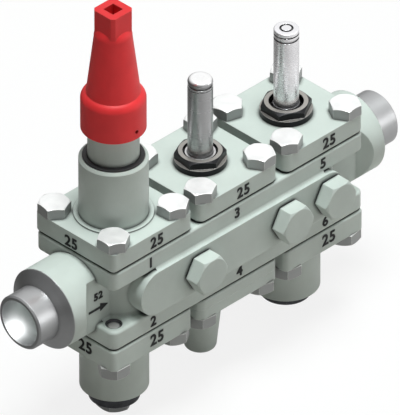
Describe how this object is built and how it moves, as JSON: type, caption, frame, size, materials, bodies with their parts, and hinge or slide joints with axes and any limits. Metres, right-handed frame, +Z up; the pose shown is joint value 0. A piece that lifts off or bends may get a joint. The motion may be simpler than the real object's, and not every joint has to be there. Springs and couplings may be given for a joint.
{
  "type": "valve station",
  "caption": "Inline control valve station for refrigeration pipework: flanged modules above and below a steel body, with butt-weld pipe ends.",
  "frame": {"origin": "centre of the inlet weld face", "axes": "+X along the flow from inlet to outlet, +Z up along the stop valve's axis, -Y is the side with the hexagon plugs"},
  "size_m": [0.292, 0.0809, 0.2761],
  "materials": {
    "cast_steel": "satin cast steel, pale grey-green coating",
    "machined_steel": "machined, fine turning marks",
    "bright_bolts": "bright stainless",
    "tube_steel": "drawn stainless, satin",
    "tube_bright": "drawn stainless, polished",
    "black_metal": "black oxide, satin",
    "red_cap": "red moulded cap",
    "inner_steel": "machined inner parts",
    "seal_black": "black elastomer",
    "seal_white": "white seal plastic",
    "gasket_fibre": "compressed fibre sheet"
  },
  "bodies": {
    "station": {"check_bonnet": "cast_steel", "check_cover": "cast_steel", "check_cover_bolts": "bright_bolts", "check_end_plug": "black_metal", "check_guide": "inner_steel", "check_spring": "inner_steel", "cover_gaskets": "gasket_fibre", "drain_adapter": "black_metal", "drain_gasket": "gasket_fibre", "drain_plug": "bright_bolts", "expansion_armature_spring": "inner_steel", "expansion_cover": "cast_steel", "expansion_cover_bolts": "bright_bolts", "expansion_nut": "black_metal", "expansion_orifice": "inner_steel", "expansion_tube": "tube_bright", "filter_bonnet": "cast_steel", "filter_cover": "cast_steel", "filter_cover_bolts": "bright_bolts", "filter_frame": "inner_steel", "filter_mesh": "inner_steel", "inlet_weld_nipple": "machined_steel", "manual_cover": "cast_steel", "manual_cover_bolts": "bright_bolts", "manual_packing": "seal_black", "manual_packing_nut": "inner_steel", "manual_spacer": "cast_steel", "outlet_weld_nipple": "machined_steel", "side_plug_gaskets": "gasket_fibre", "side_plugs": "cast_steel", "solenoid_armature_spring": "inner_steel", "solenoid_cover": "cast_steel", "solenoid_cover_bolts": "bright_bolts", "solenoid_nut": "black_metal", "solenoid_piston_spring": "inner_steel", "solenoid_tube": "tube_steel", "station_body": "cast_steel", "stop_bonnet": "cast_steel", "stop_cover": "cast_steel", "stop_cover_bolts": "bright_bolts", "stop_gland": "cast_steel", "stop_packing": "seal_black", "stop_packing_nut": "inner_steel", "stop_ring": "seal_black"},
    "seal_cap_seal": {"seal_cap_gasket": "seal_white"},
    "seal_cap": {"seal_cap": "red_cap"},
    "stop_cone": {"stop_cone": "inner_steel", "stop_cone_seal": "seal_white"},
    "stop_spindle": {"stop_spindle": "inner_steel"},
    "solenoid_armature": {"solenoid_armature": "inner_steel"},
    "solenoid_piston": {"solenoid_piston": "inner_steel", "solenoid_piston_seal": "seal_white"},
    "expansion_armature": {"expansion_armature": "inner_steel"},
    "manual_cap_seal": {"manual_cap_gasket": "gasket_fibre"},
    "manual_cap": {"manual_cap": "cast_steel"},
    "manual_push_pin": {"manual_push_pin": "inner_steel"},
    "manual_spindle": {"manual_spindle": "inner_steel"},
    "check_cone": {"check_cone": "inner_steel"}
  },
  "joints": [
    {"name": "seal_cap_travel", "type": "slide", "parent": "station", "child": "seal_cap_seal", "axis": [0, 0, 1], "range_m": [0, 0.012]},
    {"name": "seal_cap_turn", "type": "hinge", "parent": "seal_cap_seal", "child": "seal_cap", "pos_m": [0.076, 0, 0], "axis": [0, 0, 1], "range_deg": [0, 2160.1]},
    {"name": "stop_spindle_travel", "type": "slide", "parent": "station", "child": "stop_cone", "axis": [0, 0, 1], "range_m": [0, 0.012]},
    {"name": "stop_spindle_turn", "type": "hinge", "parent": "stop_cone", "child": "stop_spindle", "pos_m": [0.076, 0, 0], "axis": [0, 0, 1], "range_deg": [0, 1440.1]},
    {"name": "manual_cap_travel", "type": "slide", "parent": "station", "child": "manual_cap_seal", "axis": [0, 0, -1], "range_m": [0, 0.015]},
    {"name": "manual_cap_turn", "type": "hinge", "parent": "manual_cap_seal", "child": "manual_cap", "pos_m": [0.146, 0, 0], "axis": [0, 0, -1], "range_deg": [0, 3600.1]},
    {"name": "manual_spindle_travel", "type": "slide", "parent": "station", "child": "manual_push_pin", "axis": [0, 0, 1], "range_m": [0, 0.012]},
    {"name": "manual_spindle_turn", "type": "hinge", "parent": "manual_push_pin", "child": "manual_spindle", "pos_m": [0.146, 0, 0], "axis": [0, 0, 1], "range_deg": [0, 2880.1]},
    {"name": "solenoid_armature_lift", "type": "slide", "parent": "station", "child": "solenoid_armature", "axis": [0, 0, 1], "range_m": [0, 0.003], "stiffness_N_per_m": 300, "springref_m": -0.006, "deforming": ["solenoid_armature_spring"]},
    {"name": "solenoid_piston_lift", "type": "slide", "parent": "station", "child": "solenoid_piston", "axis": [0, 0, 1], "range_m": [0, 0.005], "stiffness_N_per_m": 400, "springref_m": -0.006, "deforming": ["solenoid_piston_spring"]},
    {"name": "expansion_armature_lift", "type": "slide", "parent": "station", "child": "expansion_armature", "axis": [0, 0, 1], "range_m": [0, 0.0025], "stiffness_N_per_m": 300, "springref_m": -0.006, "deforming": ["expansion_armature_spring"]},
    {"name": "check_cone_opening", "type": "slide", "parent": "station", "child": "check_cone", "axis": [0, 0, -1], "range_m": [0, 0.006], "stiffness_N_per_m": 500, "springref_m": -0.006, "deforming": ["check_spring"]}
  ],
  "couplings": [
    {"joint": "seal_cap_turn", "follows": "seal_cap_travel", "rad_per_m": 3141.6},
    {"joint": "stop_spindle_turn", "follows": "stop_spindle_travel", "rad_per_m": 2094.4},
    {"joint": "manual_cap_turn", "follows": "manual_cap_travel", "rad_per_m": 4188.8},
    {"joint": "manual_spindle_turn", "follows": "manual_spindle_travel", "rad_per_m": 4188.8}
  ]
}
